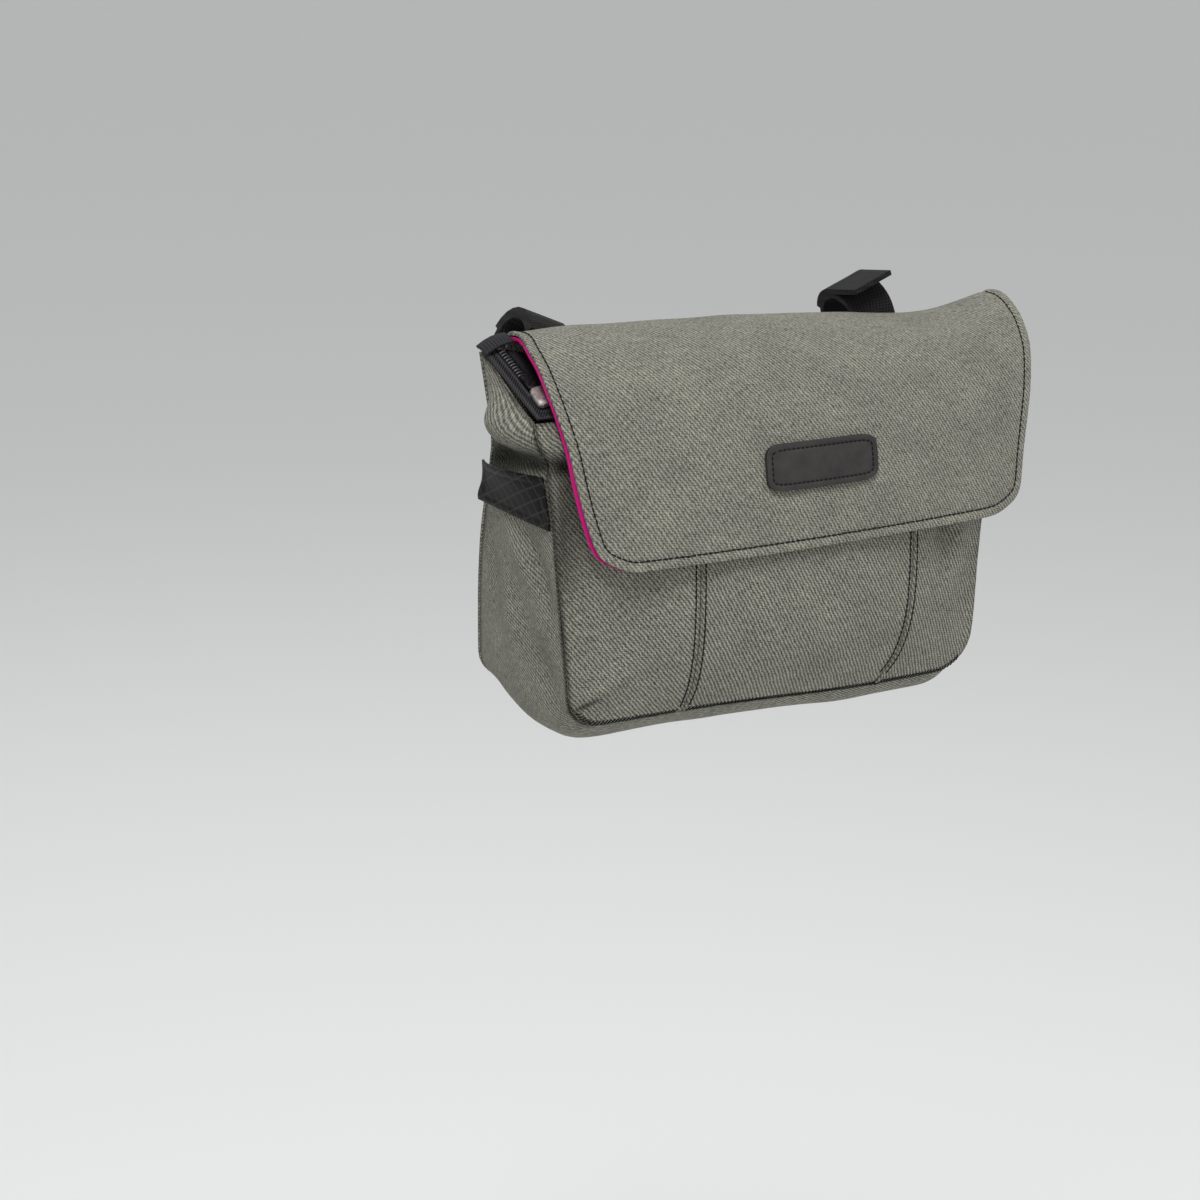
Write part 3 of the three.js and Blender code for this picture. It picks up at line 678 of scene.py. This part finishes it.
def woven(name, dark, light, pitch, roughness, relief_depth=0.2, fuzz_share=0.5, sheen=0.03):
    """A plain or ribbed weave between two colours; pitch is (across, along) in millimetres."""
    material, tree, shader = new_finish(
        name, {"Roughness": roughness, "Specular IOR Level": 0.14, "Sheen Weight": sheen}
    )
    cloth = put(tree, "ShaderNodeGroup", node_tree=plain)
    tree.links.new(put(tree, "ShaderNodeUVMap", uv_map="cut").outputs["UV"], cloth.inputs["Cut"])
    cloth.inputs["Pitch Across"].default_value = pitch[0]
    cloth.inputs["Pitch Along"].default_value = pitch[1]
    thread_part = math_node(tree, "MULTIPLY", cloth.outputs["Thread"], 1 - fuzz_share)
    both = math_node(tree, "MULTIPLY_ADD", cloth.outputs["Fuzz"], fuzz_share, thread_part)
    colour = ramp_node(tree, both, [(0.22, *dark), (0.78, *light)])
    tree.links.new(colour, shader.inputs["Base Color"])
    add_relief(tree, shader, both, 0.6, relief_depth)
    return material


tape_cloth = woven(
    "zip_tape_weave", (0.004, 0.004, 0.005), (0.055, 0.052, 0.058),
    pitch=(1.25, 2.8), roughness=0.85, relief_depth=0.45, fuzz_share=0.3,
)
tape, rim = sewn_copy("zip_tape", "zip_tape_cloth", levels=2)
tape_tree = rim_tree(rim)
lay_cloth(tape, lambda p: (p.x - p.y, tape_tree.find(p * mm)[2] / mm))
tape.data.materials.append(tape_cloth)
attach(tape, "root")
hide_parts("zip_tape")

lid_cloth = woven(
    "lid_cloth", (0.008, 0.007, 0.009), (0.022, 0.021, 0.024), pitch=(0.7, 0.7), roughness=0.8
)
lid, _ = sewn_copy("lid", "lid_cloth", levels=2)
lay_cloth(lid, lambda p: (p.x, p.y))
shape_cloth(lid, lambda p: Vector((0, 0, 1)), ripple=0.5)
lid.data.materials.append(lid_cloth)
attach(lid, "root")
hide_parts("lid")

end_cloth = woven(
    "zip_end_weave", (0.006, 0.006, 0.007), (0.040, 0.038, 0.042), pitch=(1.3, 1.1), roughness=0.85
)
zip_end, _ = sewn_copy("zip_end_left", "zip_end_cloth", levels=3)
lay_cloth(zip_end, lambda p: (p.x, p.y + p.z))
zip_end.data.materials.append(end_cloth)
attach(zip_end, "root")
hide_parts("zip_end_left")


# Zip coil
# The coil is a spiral of dark nylon, whose turns show as a row of small beads on a narrow bed.
# Each turn is modelled once as a flattened ring and copied along the zip.
coil_nylon, tree, shader = new_finish("coil_nylon", {"Roughness": 0.32})
coil_place = put(tree, "ShaderNodeTexCoord").outputs["Object"]
grime = put(tree, "ShaderNodeTexNoise", {"Vector": coil_place, "Scale": 900.0})
tree.links.new(
    ramp_node(
        tree, grime.outputs["Fac"], [(0.25, 0.040, 0.038, 0.041), (0.75, 0.105, 0.100, 0.106)]
    ),
    shader.inputs["Base Color"],
)

coil_bed, rim = sewn_copy("zip_coil", "zip_coil_bed", levels=1, edge_round=0.3)
lay_cloth(coil_bed, lambda p: (p.x, p.y))
coil_bed.data.materials.append(lid_cloth)
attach(coil_bed, "root")
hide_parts("zip_coil")

coil_inset, turn_pitch, turn_gap, turn_rise = 2.0, 1.45, 1.1, 0.25
bpy.ops.object.select_all(action="DESELECT")
bpy.ops.mesh.primitive_torus_add(
    major_radius=1.25 * mm, minor_radius=0.42 * mm, major_segments=12, minor_segments=6
)
bpy.ops.object.mode_set(mode="EDIT")
bpy.ops.mesh.select_all(action="SELECT")
bpy.ops.transform.rotate(value=math.radians(90), orient_axis="Y", center_override=(0, 0, 0))
bpy.ops.transform.resize(value=(1, 1, 0.5), center_override=(0, 0, 0))
bpy.ops.object.mode_set(mode="OBJECT")
ring = bpy.context.object
coil_turn = bmesh.new()
coil_turn.from_mesh(ring.data)
bpy.data.objects.remove(ring)
surface = BVHTree.FromObject(coil_bed, bpy.context.evaluated_depsgraph_get())
seen = []
places = []
for point, along in walk(runs(rim, coil_inset, all_round)[0], turn_pitch * mm):
    spot, normal, _, _ = surface.find_nearest(point)
    if any((spot - other).length < turn_gap * mm for other in seen):
        continue
    seen.append(spot)
    along = (along - normal * along.dot(normal)).normalized()
    places.append(set_on(normal, along, spot + normal * turn_rise * mm))
coil = repeated("zip_coil_turns", coil_turn, places, coil_nylon)
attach(coil, "root")


# Zip slider and pull
# A small nickel-plated slider with a bridge on its back, and a flat blackened pull that lies along
# the zip.
for node, finish, dark, light, roughness in (
    ("zip_slider", "nickel_plate", (0.45, 0.42, 0.39), (0.85, 0.83, 0.80), 0.42),
    ("zip_pull", "blackened_metal", (0.012, 0.011, 0.012), (0.055, 0.052, 0.052), 0.5),
):
    plated, tree, shader = new_finish(finish, {"Metallic": 1.0, "Roughness": roughness})
    own_place = put(tree, "ShaderNodeTexCoord").outputs["Object"]
    rub = put(tree, "ShaderNodeTexNoise", {"Vector": own_place, "Scale": 700.0, "Detail": 4.0})
    tree.links.new(
        ramp_node(tree, rub.outputs["Fac"], [(0.3, *dark), (0.7, *light)]),
        shader.inputs["Base Color"],
    )
    part, _ = sewn_copy(node, f"{node}_metal", levels=1, edge_round=0.4)
    part.data.materials.append(plated)
    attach(part, "root")
    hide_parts(node)


# Flap lining
# Smooth fuchsia nylon lines the flap. It is rolled out past the twill, so that it shows as a
# bright edge all round.
fuchsia_nylon = woven(
    "fuchsia_nylon", (0.40, 0.004, 0.12), (0.56, 0.012, 0.20),
    pitch=(0.6, 0.6), roughness=0.5, relief_depth=0.08, fuzz_share=0.4,
)
flap_folds = [
    (-96, -60, 35, 22, 5, -0.9), (-60, -30, 8, 40, 7, 0.8), (40, -18, -6, 45, 7, -0.7),
    (92, -50, -50, 22, 6, 0.8), (-20, -66, 4, 60, 5, -0.6), (70, -66, 0, 30, 4, 0.5),
]
bend_foot, bend_height = -6, 14
corner_top, corner_height = -50, 8


def outwards_flap(p):
    """Up over the opening and forwards where the flap hangs, blended over its bend."""
    fall = min(1.0, max(0.0, (p.z - bend_foot) / bend_height))
    return Vector((0, fall - 1, fall)).normalized()


def hem_corners(p):
    return min(1.0, max(0.0, (corner_top - p.z) / corner_height))


flap_lining, rim = sewn_copy("flap_lining", "flap_lining_cloth", levels=2, edge_round=0.3)
rim = round_corners(flap_lining, rim, hem_corners)
lay_cloth(flap_lining, lambda p: (p.x, p.z + p.y))
shape_cloth(flap_lining, outwards_flap, folds=flap_folds)
lining_tree = rim_tree(rim)
roll_width, roll_top, roll_growth, least_roll = 1.6 * mm, 4 * mm, 45 * mm, 0.2
left_edge_roll, drawn_in = 2.0, 0.5
for vertex in flap_lining.data.vertices:
    _, index, reach = lining_tree.find(vertex.co)
    inward = rim[index][2]
    share = min(1.0, max(least_roll, (roll_top - vertex.co.z) / roll_growth))
    roll = math.exp(-(reach / roll_width) ** 2) * share
    vertex.co -= inward * roll * (left_edge_roll * max(0.0, inward.x) - drawn_in) * mm
flap_lining.data.materials.append(fuchsia_nylon)
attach(flap_lining, "root")
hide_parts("flap_lining")


# Flap
# The twill flap is sewn to the back's top edge, comes over the opening and hangs down the front.
# One row of black topstitching follows its sides and hem, 4 mm inside the edge.
# On the flap, seam_shade above one makes the rim a touch lighter instead of darker.
twill_flap = twill_cloth(
    "twill_flap", angle=-32, pitch=1.5, ribs=0.45, heather=0.9, seam_shade=(1.03, 1.03, 1.02)
)
flap_inset = 4.0


def hangs_in_front(p):
    return p.y < -19


flap, rim = sewn_copy("flap", "flap_cloth", levels=3)
rim = round_corners(flap, rim, hem_corners)
lay_cloth(flap, lambda p: (p.x, p.z + p.y))
shape_cloth(
    flap, outwards_flap, rim, rows=(flap_inset,), swell=0.45, groove=0.45,
    folds=flap_folds, ripple=0.6,
)
flap.data.materials.append(twill_flap)
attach(flap, "root")
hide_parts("flap")
flap_row = stitching("flap_topstitch", runs(rim, flap_inset, hangs_in_front), flap)


# Label
# A charcoal patch is sewn to the flap by a border of close stitches, which press a shallow frame
# into it. Its face is bare.
label_charcoal, tree, shader = new_finish("label_charcoal", {"Roughness": 0.6})
label_inset = 2.7
grain_place = put(tree, "ShaderNodeTexCoord").outputs["Object"]
grain = put(tree, "ShaderNodeTexVoronoi", {"Vector": grain_place, "Scale": 1400.0})
cloudy = put(tree, "ShaderNodeTexNoise", {"Vector": grain_place, "Scale": 160.0, "Detail": 4.0})
tree.links.new(
    ramp_node(
        tree, cloudy.outputs["Fac"], [(0.3, 0.013, 0.0115, 0.011), (0.7, 0.031, 0.027, 0.0255)]
    ),
    shader.inputs["Base Color"],
)
add_relief(tree, shader, grain.outputs["Distance"], 0.35, 0.15)
label, rim = sewn_copy("label_patch", "label_patch_skin", levels=3, edge_round=0.3)
rim = round_corners(label, rim, lambda p: 1.0)
shape_cloth(label, outwards_front, rim, rows=(label_inset,), swell=0.15, groove=0.35)
label.data.materials.append(label_charcoal)
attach(label, "root")
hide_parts("label_patch")
label_row = stitching(
    "label_stitches", runs(rim, label_inset, all_round), label,
    pitch=2.2, length=1.9, width=0.62,
)


# Side bands
# Black ripstop nylon crosses each end, with a fine grid of thicker yarn and a narrow hem all
# round. It lies slack over the gusset, and its back end stands off a little.
ripstop, tree, shader = new_finish(
    "ripstop_nylon", {"Roughness": 0.5, "Specular IOR Level": 0.14}
)
grid_step, yarn_share = 5.0, 0.07
cut = put(tree, "ShaderNodeUVMap", uv_map="cut").outputs["UV"]
oblique = put(
    tree,
    "ShaderNodeVectorRotate",
    {"Vector": cut, "Angle": math.radians(24)},
    rotation_type="Z_AXIS",
).outputs["Vector"]
axes = put(tree, "ShaderNodeSeparateXYZ", {"Vector": oblique}).outputs
bars = []
for axis in ("X", "Y"):
    cell = math_node(tree, "FRACT", math_node(tree, "DIVIDE", axes[axis], grid_step))
    middle = math_node(tree, "ABSOLUTE", math_node(tree, "SUBTRACT", cell, 0.5))
    bars.append(math_node(tree, "LESS_THAN", middle, yarn_share))
grid = math_node(tree, "MAXIMUM", *bars)
tree.links.new(
    ramp_node(tree, grid, [(0.0, 0.0050, 0.0042, 0.0041), (1.0, 0.026, 0.0225, 0.022)]),
    shader.inputs["Base Color"],
)
add_relief(tree, shader, grid, 0.5, 0.15)


def outwards_end(p):
    return Vector((math.copysign(1, p.x), 0, 0))


band_hem, band_middle, band_half, back_start = 3.4, -50 * mm, 11 * mm, -16 * mm
tip_level, tip_size, tip_height, tip_base = -0.45, 0.55, 2.2, 0.8
end_short, end_slant, end_lift = 2.6, 2.0, 1.5
for side in ("left", "right"):
    band, rim = sewn_copy(
        f"side_band_{side}", f"side_band_{side}_cloth", levels=3, edge_round=0.25
    )
    lay_cloth(band, lambda p: (p.y, p.z))
    shape_cloth(band, outwards_end, rim, rows=(band_hem,), swell=0.25, groove=0.3, ripple=0.6)
    for vertex in band.data.vertices:
        back_share = max(0.0, min(1.0, (vertex.co.y - back_start) / -back_start))
        level = max(-1.0, min(1.0, (vertex.co.z - band_middle) / band_half))
        tip = math.exp(-((level - tip_level) / tip_size) ** 2)
        stand_off = (tip_height * tip - tip_base) * back_share ** 2
        vertex.co.x += math.copysign(1, vertex.co.x) * stand_off * mm
        vertex.co.y -= (1 - tip) * (end_short + end_slant * level) * back_share ** 3 * mm
        vertex.co.z += (1 + level) ** 2 * back_share ** 2 * end_lift * mm
    band.data.materials.append(ripstop)
    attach(band, "root")
    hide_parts(f"side_band_{side}")


# Bar straps
# Each strap is black hook-and-loop webbing that goes round the handlebar and closes on itself.
# The right one has a free end that stands off the loop.
strap_cloth = woven(
    "strap_webbing", (0.005, 0.0045, 0.005), (0.024, 0.022, 0.0225),
    pitch=(1.6, 0.9), roughness=0.9, relief_depth=0.35, fuzz_share=0.5, sheen=0.05,
)
loop_radius, strap_edge = 13, 2.0


def outwards_strap(p):
    return Vector((0, p.y, p.z)).normalized()


for side, strap_length in (("left", 0.111), ("right", 0.128)):
    strap, rim = sewn_copy(
        f"bar_strap_{side}", f"bar_strap_{side}_webbing", levels=3, edge_round=0.4
    )
    lay_cloth(strap, lambda p: (p.x, loop_radius * math.atan2(p.z, p.y)))
    shape_cloth(
        strap, outwards_strap, rim, rows=(strap_edge,), swell=0.25, groove=0.2, ripple=0.3
    )
    strap.data.materials.append(strap_cloth)
    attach(strap, "root")
    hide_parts(f"bar_strap_{side}")


# Floor and light
# A plain pale floor and a pale even sky. A large soft light stands at the upper left, with a
# weaker one at the right and one behind.
floor_level = -0.95
bpy.ops.object.select_all(action="DESELECT")
bpy.ops.mesh.primitive_plane_add(size=120, location=(0, 0, 0))
floor = bpy.context.object
floor.name = "floor"
for vertex in floor.data.vertices:
    vertex.co.z = floor_level
floor_paint, _, _ = new_finish(
    "floor_paint", {"Base Color": (0.93, 0.93, 0.925, 1), "Roughness": 0.9}
)
floor.data.materials.append(floor_paint)

world = bpy.data.worlds.new("sky")
bpy.context.scene.world = world
world.use_nodes = True
world.node_tree.nodes["Background"].inputs["Color"].default_value = (0.98, 0.99, 1.0, 1)
world.node_tree.nodes["Background"].inputs["Strength"].default_value = 0.5
bag_middle = Vector((0, 0, -0.07))
for name, place, size, power in (
    ("key_light", (-0.85, -1.25, 2.0), 1.0, 46),
    ("fill_light", (1.8, -1.4, 0.9), 1.6, 8),
    ("back_light", (0.4, 1.8, 1.6), 1.5, 10),
):
    lamp_data = bpy.data.lights.new(name, "AREA")
    lamp_data.energy = power
    lamp_data.size = size
    lamp = bpy.data.objects.new(name, lamp_data)
    bpy.context.scene.collection.objects.link(lamp)
    lamp.location = place
    lamp.rotation_euler = (bag_middle - Vector(place)).to_track_quat("-Z", "Y").to_euler()
bpy.context.scene.view_settings.view_transform = "Standard"


# Camera
# It stands where the photograph was taken from, to the left of the bag and a little above it,
# with a lens of 71 mm.
camera_data = bpy.data.cameras.new("camera")
camera_data.lens = 71.27
camera_data.sensor_width = 36
camera_data.clip_end = 200
camera = bpy.data.objects.new("camera", camera_data)
bpy.context.scene.collection.objects.link(camera)
camera.matrix_world = Matrix((
    (0.85997, 0.13042, -0.49340, -0.56356),
    (-0.51017, 0.24510, -0.82441, -0.83752),
    (0.01341, 0.96069, 0.27731, 0.17302),
    (0, 0, 0, 1),
))
bpy.context.scene.camera = camera
